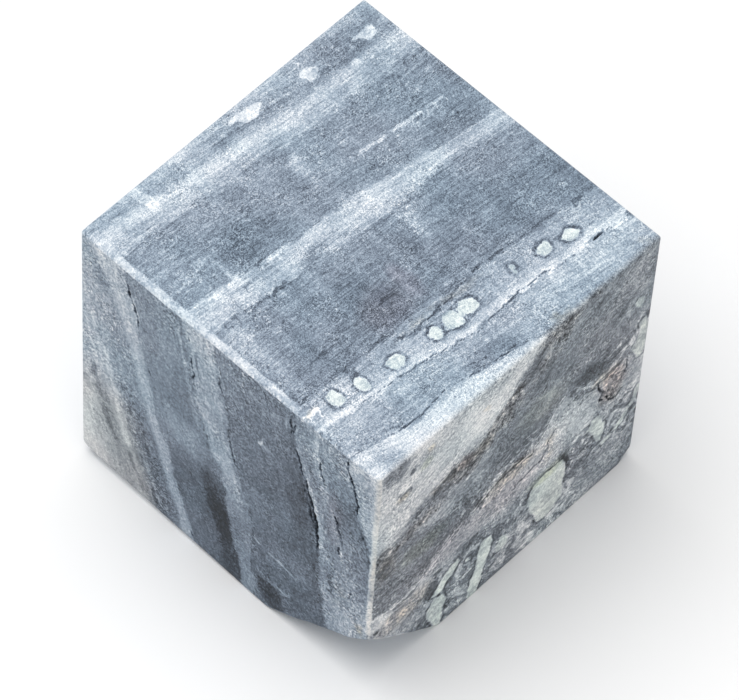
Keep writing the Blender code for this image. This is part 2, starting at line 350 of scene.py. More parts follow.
# Beds: each is a line across the top, x to y, which goes on down the left face, z to y.
BEDS = (
    # bed number, across the top, down the left face
    (-41.0, ((-50, -40.5), (-43, -42.3), (-35, -44), (-20, -43.7), (-10, -45.7), (0, -47.2), (12, -50.7),
             (50, -58)),
     ((0, -62), (40, -54), (70, -47), (78, -44), (83, -44.3), (91, -42), (95, -40.2))),
    (-31.0, ((-50, -31), (-33, -32.5), (-27, -33), (-10, -36), (-3, -37.7), (8, -36.8), (20, -37.2),
             (32, -39.2), (50, -40)),
     ((0, -50), (20, -47), (38, -44), (50, -42), (60, -39.8), (71, -36.5), (80, -32.8), (88, -31.3))),
    (-22.0, ((-50, -21.5), (-37, -22), (-12, -23), (0, -24), (13, -25), (25, -26.5), (43, -28), (50, -28.7)),
     ((0, -38), (20, -36), (33, -34), (47, -32.2), (60, -31), (70, -28.5), (79, -25.3), (85.5, -23.3),
      (96, -22.5))),
    (6.5, ((-50, 6.7), (-40, 6.9), (-31.6, 5.1), (-23, 4.4), (-10, 3.3), (6.3, 2.3), (27.7, 1.2),
           (50, -1.3)),
     ((8, -11), (15, -10), (30, -9.5), (40, -8), (50, -5), (62, -1.5), (75, 0), (87, 2.5), (100, 5))),
    (16.0, ((-50, 16.4), (-40, 15.1), (-22.3, 13), (-7.3, 11.6), (7.7, 10), (14.9, 8.3), (31.3, 6),
            (50, 3.3)),
     ((5, -7), (12, -6), (18, -4), (30, -1.5), (40, 0), (47, 1), (54, 5.5), (64, 8.5), (70, 10.5), (83, 12),
      (100, 15.5))),
    (38.0, ((-50, 38.5), (-31.6, 38.3), (-22.3, 36.9), (-15.9, 35), (-3, 34.8), (14.1, 32.6), (25.6, 31.9),
            (50, 31)),
     ((0, 9.5), (8, 11.6), (22, 16.2), (30, 18.6), (42, 22.2), (50, 24.6), (62, 27), (70, 28.5), (84, 31),
      (95, 34.5), (100, 36))),
    (46.0, ((-50, 46), (-36, 44.7), (-18.7, 43), (-8.7, 41.6), (8.4, 39.8), (18.4, 39.1), (50, 37.6)),
     ((8, 16), (16, 19.5), (24, 22), (40, 26.8), (56, 30.5), (72, 34.5), (80, 37.5), (88, 40), (96, 44))),
    (51.0, ((-50, 50), (-36, 48.7), (-8.7, 46), (18.4, 43), (50, 41)),
     ((3, 23.5), (15, 27), (28, 31), (38, 34), (47, 37), (64, 38.5), (80, 41), (88, 43.5), (96, 47))),
    (60.0, ((-50, 59), (-8.7, 55), (18.4, 52), (50, 50)),
     ((5, 34), (20, 37), (31, 42), (40, 44.5), (50, 46.5), (64, 50), (80, 53), (96, 57))),
)


def numbered(places, rows, numbers, outside):
    """The bed number at each place, shared out evenly between one row of beds and the next."""
    found = outside
    for k in range(len(rows) - 1):
        share = (places - rows[k]) / np.maximum(rows[k + 1] - rows[k], 0.5)
        within = (places >= rows[k]) & (places < rows[k + 1])
        found = np.where(within, numbers[k] + share * (numbers[k + 1] - numbers[k]), found)
    return found


x, y, z = spots[:, 0], spots[:, 1], spots[:, 2]
numbers = [number for number, top_line, left_line in BEDS]
rows = []
for number, top_line, left_line in BEDS:
    top_x, top_y = zip(*top_line)
    left_z, left_y = zip(*left_line)
    # the two lines meet on the left top arris
    down_left = np.interp(z, left_z + (TALL,), left_y + (top_y[0],)) - top_y[0]
    rows.append(np.interp(x, top_x, top_y) + down_left)
outside = np.where(y < rows[0], numbers[0] + y - rows[0], numbers[-1] + y - rows[-1])
bed = numbered(y, rows, numbers, outside)

# The right face cuts the beds at a low angle, so they open into broad folded zones there:
# each is a line across that face, x to z.
RIGHT_BEDS = (
    (-60.0, ((-50, 96), (-20, 118), (50, 190))),
    (-41.0, ((-50, 65), (-36, 70), (-28, 74), (-10, 79), (-3, 85.5), (4, 95), (9, 101.3), (50, 140))),
    (-31.0, ((-50, 34.5), (-40, 32.5), (-34, 33), (-28, 36), (-20, 42), (-10, 47), (-5, 51), (0, 52.5),
             (5, 52), (10, 50), (13, 54), (16, 60), (20, 62), (25, 58), (30, 55), (35, 54), (43, 57),
             (50, 66))),
    (-26.0, ((-50, 15), (-40, 10), (-34, 12), (-30.5, 20), (-28, 29), (-20, 30), (-12, 31.5), (-2, 30),
             (2, 26), (5, 29), (9, 31.5), (20, 33), (26, 36), (29, 41), (33, 38), (40, 36), (44, 38),
             (50, 40))),
    (-14.0, ((-50, -25), (0, -12), (50, -8))),
)
RIGHT_STRETCH = 2.4
flat, depth = laid_on("right", spots)
downward = -flat[:, 1]
numbers = [number for number, line in RIGHT_BEDS]
rows = [-np.interp(flat[:, 0], *zip(*line)) for number, line in RIGHT_BEDS]
outside = np.where(downward > rows[-1], numbers[-1], numbers[0])
own = numbered(downward, rows, numbers, outside)
turned = 1 - eased(depth, 0.2, 1.2)
layer = bed * (1 - turned) + own * RIGHT_STRETCH * turned
bed = bed * (1 - turned) + own * turned

# The beds change their tone as they go down the left face: a little below the top arris,
# and again towards the foot. The darkening towards the foot is partly the stone's own and partly painted
# shade.
flat, depth = laid_on("left", spots)
on_left = 1 - eased(depth, 0.2, 1.5)
down = on_left * (1 - eased(flat[:, 1], 70, 106))
low = on_left * (1 - eased(flat[:, 1], 30, 54))

# Lighter and darker clouds in each face: centre, half sizes, turn, how much.
CLOUDS = {
    "top": (
        (-12, 49.7, 14, 2.0, 0, 12), (-24, 20, 7, 8, 0, -14), (-40, 4, 9, 5, 0, 10), (5, 25, 4, 9, -20, 12),
        (40, 9, 10, 4, -5, -12), (-43, 26, 5, 13, 0, 10), (-43, 21, 5, 8, 0, 4), (-24, 9.5, 6, 4, 0, -16),
        (-12, 6.5, 7, 2.2, 0, -20), (4, 9, 8, 4, -4, 14), (40, 3, 9, 5, -4, -14), (-28, 11, 7, 2, 0, -12),
        (-8, 36, 12, 3, 0, -12), (40, 36, 10, 4, 0, -6), (-45, -6, 4, 16, 0, 24), (-14, -13, 7, 12, 0, -14),
        (10, 0, 6, 7, 0, 10), (10, -5, 1.8, 7, 0, 30), (2, 25, 1.8, 8, -18, 26),
        (25.5, -15.5, 2.6, 1.8, 0, 26), (-4.5, -15.5, 1.6, 7, 0, 22), (-12, 42, 9, 3, -6, 8),
        (10, 8, 5, 2.5, 0, 10), (-35.8, -4, 2.4, 1.2, 0, 22), (-37, -9, 2.6, 2, 0, 16),
        (-40, -25.5, 9, 3, 0, 14), (-4.5, -44, 9, 2.4, -10, -30), (-28, -38.5, 14, 1.4, -3, -12),
        (10, -42, 12, 1, -3, -12), (30, -42, 22, 5, 0, 20), (-44, -47.5, 4, 4, 0, -34),
        (-42, 43, 8, 4, 0, -6), (38, 45.5, 13, 5, 0, -36), (34, 42, 24, 10, -4, -14),
        (2, 46, 18, 4, -5, -22), (-15, 5.5, 8, 3.5, 0, -26), (14, -5, 6, 6, 0, 12),
    ),
    "left": (
        # the two long dark clouds beside the deep fissure, at -25 and -28 across, are painted shade along
        # its side
        (-38, 75, 5, 9, 0, -14), (-25, 60, 3.5, 13, -12, -22), (8, 62, 5, 8, 0, 6), (-16, 9, 4, 5, 0, -20),
        (13, 10, 4, 8, 0, 2), (47, 30, 4, 30, 0, 14), (20, 87, 7, 12, 0, 14), (17, 61, 7, 8, 0, -10),
        (-28, 80, 2.5, 9, -15, -16), (2, 50, 4, 6, 0, 8), (38, 62, 3, 9, 0, -10), (30, 20, 3, 4, 0, -16),
        (-40, 25, 5, 7, 0, 12), (14, 47, 7, 6, 20, 10), (14, 31, 4, 12, 0, -12), (-15, 85, 4, 14, 0, 12),
        (-46, 94, 4, 8, 0, -26), (-25, 44, 4, 8, 0, -14), (-5, 26, 5, 7, 0, -24), (2, 66, 5, 6, 0, -12),
        (-14, 57, 7, 10, 0, -12), (-28, 18, 4, 7, 0, -14), (-24, 92, 3, 12, 0, -12), (-22, 30, 8, 5, 0, 8),
    ),
    "right": (
        (-44, 97, 5, 5, 0, -16), (-34, 94, 8, 5, 0, -14), (-14, 90, 12, 8, 0, 14), (-44, 70, 5, 6, 0, 14),
        (-42, 83, 4, 2, 20, -24), (-24, 60, 9, 5, 0, 16), (-33, 50, 13, 7, -10, -8),
        (-26, 70, 8, 3, 0, -14), (47, 50, 4, 24, 0, 4), (12, 70, 10, 6, 0, 6), (8, 80, 8, 5, 30, -6),
        (12, 62, 9, 3, 0, -14), (30, 62, 9, 5, 0, -12), (19, 50, 9, 9, 0, 34), (13, 37, 9, 4, 0, 34),
        (-18, 37, 7, 4, 30, 0), (-30, 42, 12, 4, 20, -12), (-5, 62, 8, 5, 0, -10),
        (-20, 74.5, 10, 3.2, 8, -6), (4, 92, 8, 3, 48, -12), (-8, 84, 4, 4, 45, 10), (-38, 21, 7, 6, 0, -6),
        (38, 48, 5, 8, 0, -6), (-45, 30, 6, 4, 0, 28), (33, 8, 20, 12, 0, 38), (39, 23, 10, 8, 0, 34),
        (26, 38, 5, 9, 0, 36), (0, 15, 4, 6, 0, 34), (15, 3, 10, 5, 0, 52), (44, 80, 7, 11, 0, 32),
        (26, 46, 4, 6, 0, 14), (15, 66, 5, 4, 0, -12), (4, 97, 5, 4, 0, 16), (-45, 64, 5, 4, 0, 14),
        (-17, 46, 9, 5, 30, -34), (-10, 34, 8, 3, 0, 16), (-16, 12, 5, 10, 0, 38),
    ),
}
tone = np.zeros(len(spots))
drift = pushed(spots, 6.0, 41) * 2.5
for face, clouds in CLOUDS.items():
    flat, depth = laid_on(face, spots + drift)
    cover = 1 - eased(depth, 2.5, 4.5)
    for across, upward, long, wide, turn, amount in clouds:
        cos, sin = math.cos(math.radians(turn)), math.sin(math.radians(turn))
        off, rise = flat[:, 0] - across, flat[:, 1] - upward
        outward = np.hypot((off * cos + rise * sin) / long, (rise * cos - off * sin) / wide)
        tone += cover * amount / 255 * (1 - eased(outward, 0.35, 1.25))

# Stains in the stone of each face: centre, half sizes, how ochre, how rosy (olive below nought).
STAINS = {
    "top": (
        (16, -48.7, 4, 1.2, 0.9, 0), (45.5, -48.8, 2.5, 1.2, 0.9, 0), (-47.5, -25.5, 2.2, 1, 0.6, 0),
        (-13, -17, 9, 7, 0.15, 0.7), (-4, -15, 3, 7, 0, 0.9), (-2, -26, 17, 1.2, 0.5, 0),
    ),
    "right": (
        (-12, 75, 3.5, 2.5, 0.6, 0), (7.5, 95, 3.5, 4, 0.5, 0), (-32, 96, 2, 2, 0.7, -0.3),
        (-33, 91, 2, 2, 0.3, -0.8), (-41, 84, 3, 2, 0.9, 0), (-12.5, 92, 1.5, 1.2, 0.8, 0),
        (-25, 73.5, 5, 3, 0.7, 0), (-17.5, 74, 4, 3, 0.5, 0.9), (-38, 25, 12, 6, 0.7, 0.2),
        (1, 47.5, 9, 4, 0.5, 0), (-45, 54, 4, 6, 0.7, 0), (-32, 50.5, 10, 5, 0.1, -0.7),
        (10, 68, 11, 8, 0.1, -0.5), (38, 49, 6, 10, 0.3, 0.7), (15, 31, 9, 3, 0.2, -0.9),
        (34, 54, 5, 5, 0.7, 0), (-10, 38, 30, 8, 0.05, 0.6), (14, 44, 3, 8, 0.6, 0),
    ),
    "left": (
        (-47.5, 29, 1.8, 5, 1.0, 0), (-37, 68, 3, 16, 0.1, 0.6), (-40, 36, 3, 5, 0.4, 0),
    ),
}
ochre = np.zeros(len(spots))
rosy = np.zeros(len(spots))
for face, stains in STAINS.items():
    flat, depth = laid_on(face, spots + drift * 0.6)
    for across, upward, long, wide, ochre_share, rosy_share in stains:
        outward = np.hypot((flat[:, 0] - across) / long, (flat[:, 1] - upward) / wide)
        cover = (1 - eased(depth, 1.5, 3.0)) * (1 - eased(outward, 0.4, 1.3))
        ochre = np.maximum(ochre, cover * ochre_share)
        rosy = np.where(cover * abs(rosy_share) > np.abs(rosy), cover * rosy_share, rosy)

# Pale inclusions: a row of rounded clasts along one bed, lenses near the back of the top,
# and larger folded lumps low on the right face.
CLASTS = {
    "top": (
        ((-42.3, -25.6), (-41.4, -24.3), (-39.2, -24.4), (-38.7, -26), (-38.9, -29), (-40.5, -29.4),
         (-42.2, -28.6)),
        ((-34.4, -27.3), (-33, -26), (-31.9, -26.6), (-31.7, -29), (-32.4, -30.5), (-34, -30.1)),
        ((-33.1, -23), (-32.1, -23.1), (-32, -24), (-32.9, -24)),
        ((-24.8, -28.6), (-23, -27.6), (-20.6, -28.4), (-20.2, -30.6), (-21.6, -32), (-24.3, -31.5)),
        ((-11.2, -30), (-9.8, -29.1), (-8.4, -29.8), (-8.4, -32.2), (-9.8, -33), (-11.2, -32)),
        ((-6.6, -30.4), (-5, -28.9), (-2.5, -29.1), (-1.8, -31), (-2.4, -33.4), (-4.9, -33.7),
         (-6.5, -32.4)),
        ((-1.1, -30), (1, -28.5), (3.6, -28.8), (4.4, -30.6), (3.8, -33), (1.2, -33.5), (-0.8, -32.2)),
        ((16, -30.9), (17.2, -30), (18.4, -30.8), (18.2, -32.6), (16.6, -33)),
        ((24.4, -32), (26.2, -31), (28.5, -31.6), (28.4, -34), (26, -34.8), (24.5, -34)),
        ((31.9, -33.2), (35.2, -32.4), (37.2, -34.6), (35.8, -35.9), (32.6, -35.6)),
        ((-1.8, 48.4), (0.5, 48.3), (6, 47.9), (9, 46.9), (8.6, 46), (6.5, 45), (4.3, 44.3), (2.2, 45.2),
         (1.5, 46.6), (-1, 47.2)),
        ((20.4, 45.6), (22.5, 46.5), (24.5, 46), (26.7, 44.6), (26, 43.6), (24.5, 43), (22.6, 42.2),
         (21.6, 44.2)),
        ((38.6, 44.2), (42, 44.4), (45.6, 44.2), (45.8, 42.6), (45, 41.3), (41.6, 41.4), (40.4, 42.9)),
    ),
    "right": (
        ((-24.5, -1), (-22, 0.5), (-21.8, 8), (-20.3, 12), (-22, 15.6), (-25.5, 16), (-27.6, 13),
         (-27.8, 9), (-26, 6)),
        ((-26.5, 18), (-22.5, 17), (-20.5, 20.5), (-17.5, 23), (-17, 27.4), (-20, 26), (-24, 23)),
        ((-14.5, 21.5), (-12.5, 20.8), (-12.8, 22.8), (-14, 23)),
        ((-12, -1), (-8.5, -1), (-7.5, 8), (-6, 13), (-4.6, 18), (-5, 23.5), (-8.5, 24), (-9.5, 20),
         (-10, 14), (-11.5, 9), (-12.5, 4)),
        ((-2, 11.5), (1.5, 12.4), (1.6, 15), (0.2, 19), (-1.5, 16)),
        ((8.6, 26.5), (10, 29.5), (15, 31), (21, 30.6), (22.5, 27), (22.4, 20), (22, 12), (19.5, 8.5),
         (16, 7.5), (13.5, 9), (11.5, 14), (9.8, 18), (8.6, 22)),
        ((29.6, 33), (31, 37), (33, 38.5), (34.8, 36), (35, 33), (36.8, 29), (36.2, 24), (35, 22.5),
         (33.5, 26), (32.3, 30)),
        ((36, 21.8), (40, 22.4), (43, 24.6), (46.5, 29.5), (48.6, 36), (50, 34), (47.6, 27.6), (44, 22.6),
         (40.4, 20.4), (37, 19.8)),
        ((44.5, 57), (46.5, 62), (46, 67), (48.6, 69), (49.6, 60), (48.6, 50), (46, 50)),
        ((44, 76), (43, 79), (44.6, 81.6), (46, 79), (45.6, 75)),
    ),
}
clast = np.full(len(spots), 6.0)
for face, outlines in CLASTS.items():
    flat, depth = laid_on(face, spots)
    here = depth < 2.5
    for outline in outlines:
        outside = from_outline(flat[here], outline) + np.maximum(0, depth[here] - 1)
        clast[here] = np.minimum(clast[here], outside)
# the clasts towards the front are faintly green, the lenses at the back white
green = np.where(y < 30, 1.0, 0.0)

# Fine marks with no depth, dark or pale, on each face: half width, how much, the line as drawn.
MARKS = {
    "top": (
        (0.3, -45, ((-33.5, 11), (-31, 11))), (0.4, -25, ((-37, 4.8), (-31, 5.2))),
        (0.55, -60, ((-29.4, 4.9), (-24.6, 4.9))), (0.4, -40, ((-44, 6.5), (-41, 6.5))),
        (0.35, -26, ((42, 30.6), (46, 30.6))), (0.3, -25, ((-35, -2.4), (-25, -3.4))),
        (0.3, -25, ((-42, -15), (-34, -15.8), (-26.6, -16.7))), (0.3, -25, ((-19.4, -14.5), (-8.7, -16))),
        (0.3, -50, ((-19, -25.2), (-16, -26), (-15.6, -27.2), (-11, -27.4), (-10.4, -26.2), (-4, -26.8))),
        (0.3, -34, ((-4, -25.8), (0, -26.6), (5, -25.5), (7, -26), (13, -24.8))),
        (0.25, -30, ((-37, -22), (-25, -23), (-19, -22.8))),
        (0.25, -30, ((15, -25.2), (25, -26.5), (38, -27.5))), (0.35, -30, ((41.8, -28), (44.6, -28))),
        (0.3, 32, ((20, 32.6), (28, 32.5))), (0.6, 24, ((-48, 15.9), (-40, 14.9), (-32, 14.1))),
        (0.35, 46, ((15, 18.8), (28, 17.6), (42, 16.2))), (0.4, 22, ((29, 14.8), (37, 14.8))),
        (0.4, 22, ((-47.6, 27.9), (-42.3, 27.3))), (0.5, 28, ((43, -40.5), (46, -42), (50, -43))),
        (0.7, 22, ((-23.6, 22.5), (-22.4, 22.5))), (0.8, 26, ((-40, 13), (-38, 12.9))),
        (0.8, 26, ((-33, 11.6), (-31.2, 11.5))), (0.8, 26, ((-23.2, 12.6), (-21.6, 12.5))),
        (0.8, 60, ((-49, -25.4), (-46, -25.8))), (0.7, 32, ((33.6, 39), (34.6, 39))),
    ),
    "left": (
        (0.4, -50, ((-36.4, 41), (-37.6, 38.6), (-36.2, 37.2), (-38.2, 35.4), (-37, 33.8))),
        (0.3, -40, ((-34.5, 43), (-36, 40))), (0.6, 26, ((-25.6, 80), (-28, 73), (-31, 64), (-33.4, 55))),
        (0.9, 85, ((-11.8, 74), (-15, 73.6))),
        (1.5, 24, ((42.5, 57), (39, 44), (36.4, 34), (35, 26), (34.5, 20))),
        (0.8, -36, ((33.5, 20), (32, 14), (29.5, 9), (28.5, 5))),
        (0.6, 26, ((29, 23), (26, 16), (24, 10), (22, 5))),
        (1.1, -32, ((46.5, 46), (44.8, 38), (43.6, 34))), (1.3, -30, ((42.8, 30), (41, 24), (39, 20))),
        (1.0, -26, ((45.6, 24), (44, 18))), (0.8, -30, ((25, 10), (23.5, 4))),
        (0.6, -26, ((36, 47), (34, 42), (33, 36))), (0.5, -26, ((29, 33), (26.5, 26), (24, 18))),
        (0.8, -24, ((49, 38), (47.6, 33))), (0.3, 46, ((-11, 28), (-18, 26.8), (-26, 25.3))),
        (0.3, 34, ((-12, 14.8), (-18, 13.6), (-24, 14))), (0.8, 30, ((7.4, 74), (6.7, 72))),
        (0.8, 30, ((5.8, 64), (5.3, 62))), (0.8, 30, ((4.2, 52), (3.8, 50))),
        (0.7, 18, ((-33, 84), (-37, 68), (-40, 55))), (0.4, 24, ((17, 96), (15.6, 86), (13, 72), (9, 58))),
        (0.35, -30, ((11, 90), (9, 80), (7, 70))),
    ),
    "right": (
        (0.9, -45, ((-35, 69.5), (-30.5, 70))), (1.3, -40, ((-28, 71.5), (-25, 74), (-22, 75))),
        (0.9, -28, ((-20, 73.6), (-15.5, 74.6))), (1.2, -25, ((-13.6, 74), (-10.5, 77))),
        (1.0, -36, ((-2, 86), (-0.4, 88))), (1.0, -30, ((5, 92.5), (9, 97.5))),
        (0.35, -28, ((-38, 61), (-31, 58.5), (-25, 55))),
        (0.4, -45, ((3, 39.4), (6, 38.8), (9.5, 40.4), (12, 39.8), (14, 43), (13.6, 46), (16.6, 50))),
        (0.5, -45, ((31.5, 55), (32.4, 51), (34, 48), (33.4, 44.5), (36, 43.5), (37.4, 40.4), (40, 39.4),
         (42, 41.6))),
        (1.3, -50, ((38.6, 43), (40, 45.5))), (0.45, -35, ((-1, 35.4), (4, 35.8))),
        (1.0, -55, ((-25.6, 29), (-24.4, 29.4))), (1.6, -30, ((-37, 17), (-33, 20.5))),
        (0.5, -35, ((20, 34), (22.4, 29), (24, 24))), (0.9, -80, ((-38, 92.8), (-36.2, 92.6))),
        (0.9, -60, ((-41.6, 86), (-38.4, 85.6))), (1.0, 50, ((-37, 91.2), (-35.4, 90.6))),
        (0.8, 45, ((-40.3, 88.2), (-40, 86))),
        (0.35, 22, ((-50, 33), (-44, 31.5), (-35, 31), (-30, 33.5), (-25, 37), (-20, 41), (-10, 47),
         (-5, 51), (0, 52.5), (5, 52), (10, 50))),
        (0.35, 24, ((11, 51), (13, 54), (16, 60), (20, 61.5), (25, 58), (30, 55.4), (33, 56))),
        (0.5, 50, ((-18.6, 55), (-18.2, 52), (-16.8, 48.8))), (0.7, 40, ((-47.4, 44.4), (-46.8, 43.4))),
        (0.7, 40, ((-45.2, 41), (-44.6, 40.6))), (0.7, 34, ((-41.3, 37.2), (-40.6, 36.6))),
        (0.4, 35, ((20, 66), (18, 62))), (1.3, 24, ((45.6, 79.4), (42.4, 75))),
        (1.1, 22, ((46.6, 93), (47.6, 93))),
        (0.5, -45, ((34, 49), (36, 44), (39, 42), (41, 45), (40.4, 49))),
        (0.9, 45, ((-39.4, 72.6), (-38.6, 72.4))), (0.9, 40, ((-44.4, 73), (-43.6, 73))),
        (1.6, 18, ((48, 28), (48.4, 48))), (0.4, -35, ((44, 66), (46, 60), (45, 53))),
        (0.4, -30, ((-22, 8), (-18, 5), (-13, 4.5))), (0.5, 24, ((-22, 6), (-17, 3.2), (-12, 2.6))),
    ),
}
nearest = np.full(len(spots), 9.0)
beside = np.full(len(spots), 9.0)
mark = np.zeros(len(spots))
for face, marks in MARKS.items():
    flat, depth = laid_on(face, spots + wander * 1.3)
    here = np.flatnonzero(depth < 1.5)
    for half, amount, line in marks:
        gap, along, side = from_line(flat[here], line)
        closer = gap - half < nearest[here]
        at, gap, side = here[closer], gap[closer], side[closer]
        nearest[at] = gap - half
        beside[at] = gap * side / (half + 0.2)
        mark[at] = (1 - eased(gap, half + 1.6, half + 2.8)) * amount / 255

# Shards of a different tone with plain edges on each face: how much lighter or darker, outline.
SHARDS = {
    "left": (
        (-20, ((8.5, 41), (4, 39), (1.5, 34), (-1.5, 26), (-3.5, 18), (-1.5, 13), (2, 17), (4.5, 24),
         (7, 32))),
        (-34, ((-12.5, 12), (-13, 4), (-17, 1), (-22, 4), (-21, 11), (-17, 13))),
        (11, ((21, 57), (10, 55), (5, 48), (8, 40), (17, 43), (22, 50))),
    ),
    "right": (
        (-9, ((-42, 61), (-35, 58.6), (-28, 55.6), (-23.6, 52.4), (-22.4, 48), (-25, 45.4), (-31, 46),
         (-37, 50), (-41, 56))),
        (20, ((-36, 65), (-28, 66.5), (-22, 62.5), (-21, 57), (-24, 54), (-30, 57.6), (-36, 60))),
        (-24, ((-49.5, 56), (-45, 57.6), (-42.5, 54), (-42, 50), (-44.5, 48.8), (-47, 52))),
        (36, ((-38.6, 51.4), (-37.6, 51), (-39.4, 44), (-40.6, 44.6))),
        (-26, ((-17.6, 56), (-15, 54), (-15.4, 50), (-18, 49.4), (-18.8, 52))),
        (16, ((-15, 62), (-10, 63.4), (-7, 58), (-12, 56.6))),
        (-34, ((-50, 101), (-40, 101), (-38.5, 97), (-43, 93.6), (-47, 94.6))),
        (-14, ((22, 66), (34, 69), (44, 66), (42, 61), (32, 60), (24, 61))),
        (-14, ((-8, 70), (4, 74), (14, 70), (10, 65), (0, 64))),
        (14, ((-2, 60), (4, 63), (14, 75), (20, 79), (16, 71), (9, 62), (3, 58))),
    ),
    "top": (
        (32, ((-37.8, 24.6), (-32, 24.6), (-32, 14.4), (-33.8, 14.4), (-34, 22.4), (-37.8, 22.4))),
        (26, ((-33.8, 50.5), (-31.2, 50.5), (-30.8, 41), (-33.2, 42))),
        (-5, ((-20, -14), (-12, -13), (-3, -15), (-2, -20), (-12, -21.5), (-20, -21))),
        (-6, ((-31.6, 24), (-20, 26), (-12, 21), (-14, 16), (-31.6, 15.6))),
    ),
}
shard = np.full(len(spots), 9.0)
shard_tone = np.zeros(len(spots))
for face, shards in SHARDS.items():
    flat, depth = laid_on(face, spots)
    here = np.flatnonzero(depth < 1.5)
    for amount, outline in shards:
        gap = from_outline(flat[here], outline)
        closer = gap < shard[here]
        shard[here[closer]] = gap[closer]
        shard_tone[here[closer]] = amount / 255

# What the marble is coloured by is kept at every point of the mesh.
KEPT = {
    "bed": bed, "layer": layer, "down": down, "low": low, "turned": turned, "cloud": tone,
    "clast": clast, "green": green, "fissure_dirt_and_shade": fissure_dirt_and_shade, "fissure_rim_highlight": fissure_rim_highlight, "broken": broken, "ochre": ochre,
    "rosy": rosy, "beside": beside, "mark": mark, "shard": shard, "shard_tone": shard_tone,
}
for name, values in KEPT.items():
    held = block.data.attributes.new(name, "FLOAT", "POINT")
    held.data.foreach_set("value", values.astype(np.float32))

bpy.ops.object.select_all(action="DESELECT")
block.select_set(True)
bpy.context.view_layer.objects.active = block
# edges that turn by more than this many degrees stay crisp
CRISP_ABOVE = 38.0
bpy.ops.object.shade_smooth_by_angle(angle=math.radians(CRISP_ABOVE))


class Wire:
    """An output socket in the marble's nodes: arithmetic on it adds the Math nodes that do the sum."""

    def __init__(self, socket):
        self.socket = socket

    @classmethod
    def node(cls, kind, settings, inputs, output=0):
        """Adds a node, with its settings first and then a value or a wire for each socket."""
        made = tree.nodes.new(kind)
        for name, value in settings.items():
            if name == "stops":
                elements = made.color_ramp.elements
                elements.remove(elements[-1])
                for index, (position, colour) in enumerate(value):
                    element = elements[0] if index == 0 else elements.new(position)
                    element.position, element.color = position, colour
            else:
                setattr(made, name, value)
        for name, value in inputs.items():
            if isinstance(value, Wire):
                tree.links.new(value.socket, made.inputs[name])
            else:
                made.inputs[name].default_value = value
        return cls(made.outputs[output]) if made.outputs else None

    def __add__(self, other):
        return Wire.node("ShaderNodeMath", {"operation": "ADD"}, {0: self, 1: other})

    def __sub__(self, other):
        return Wire.node("ShaderNodeMath", {"operation": "SUBTRACT"}, {0: self, 1: other})

    def __rsub__(self, other):
        return Wire.node("ShaderNodeMath", {"operation": "SUBTRACT"}, {0: other, 1: self})

    def __mul__(self, other):
        return Wire.node("ShaderNodeMath", {"operation": "MULTIPLY"}, {0: self, 1: other})

    def __truediv__(self, other):
        return Wire.node("ShaderNodeMath", {"operation": "DIVIDE"}, {0: self, 1: other})

    def __abs__(self):
        return Wire.node("ShaderNodeMath", {"operation": "ABSOLUTE"}, {0: self})

    __radd__, __rmul__ = __add__, __mul__


marble = bpy.data.materials.new("banded_marble")
marble.use_nodes = True
tree = marble.node_tree
tree.nodes.clear()


def kept(name):
    """A value kept at every point of the mesh."""
    return Wire.node("ShaderNodeAttribute", {"attribute_name": name}, {}, "Fac")


def grain(where, size, detail, rough=0.6):
    """Unevenness about nought, its lumps `size` millimetres across."""
    inputs = {"Vector": where, "Scale": 500.0 / size, "Detail": detail, "Roughness": rough}
    return Wire.node("ShaderNodeTexNoise", {}, inputs) - 0.5


def step(value, low, high):
    """0 below low, 1 above high, smooth between."""
    inputs = {"Value": value, "From Min": low, "From Max": high}
    return Wire.node("ShaderNodeMapRange", {"interpolation_type": "SMOOTHSTEP"}, inputs)


def blend(share, first, second):
    """One value going over to another."""
    return Wire.node("ShaderNodeMix", {"data_type": "FLOAT"}, {0: share, 2: first, 3: second})


def blend_colour(share, first, second, way="MIX"):
    """One colour going over to another, or multiplied by it."""
    settings = {"data_type": "RGBA", "blend_type": way}
    return Wire.node("ShaderNodeMix", settings, {0: share, 6: first, 7: second}, 2)


def seen(red, green, blue):
    """A colour as it is read on a screen, 0 to 255, as light."""
    return tuple(((c / 255 + 0.055) / 1.055) ** 2.4 for c in (red, green, blue)) + (1.0,)


def drawn_out(across, along, upward, detail, rough):
    """Unevenness about nought whose lumps are longer one way than another."""
    where = Wire.node("ShaderNodeCombineXYZ", {}, {"X": across, "Y": along, "Z": upward})
    inputs = {"Vector": where, "Scale": 1.0, "Detail": detail, "Roughness": rough}
    return Wire.node("ShaderNodeTexNoise", {}, inputs) - 0.5


def crystals(scale):
    """Cells of calcite, each with a tone of its own, from 0 to 1."""
    return Wire.node("ShaderNodeTexVoronoi", {}, {"Vector": spot, "Scale": scale}, "Color")


spot = Wire.node("ShaderNodeTexCoord", {}, {}, "Object")
x_mm, y_mm, z_mm = (Wire.node("ShaderNodeSeparateXYZ", {}, {0: spot}, way) / MM for way in "XYZ")
turned_wire = kept("turned")
layer_wire = kept("layer")
green_wire = kept("green")

waver = grain(spot, 5.0, 4.0)
ripple = grain(spot, 1.5, 3.0)
fuzz = grain(spot, 0.45, 2.0, 0.7)
mottle = grain(spot, 3.0, 4.0, 0.6)
flat_top = step(z_mm, TALL - 0.4, TALL - 0.1)
# streaks run with the beds: lumps much longer along a bed than across it
streak = drawn_out(x_mm * 0.09, layer_wire * 0.9, z_mm * 0.09, 4.0, 0.55)
felt = drawn_out(x_mm * 0.24, layer_wire * 3.2, z_mm * 0.24, 3.0, 0.6)
# the saw and the rubbing brick went across the top against the beds
rubbing = drawn_out(x_mm * 0.26, y_mm * 0.036, z_mm * 0.26, 3.0, 0.6)
# the crystals show smaller on the honed top than on the sides
crystal = blend(flat_top, crystals(2200.0), crystals(4000.0)) - 0.5

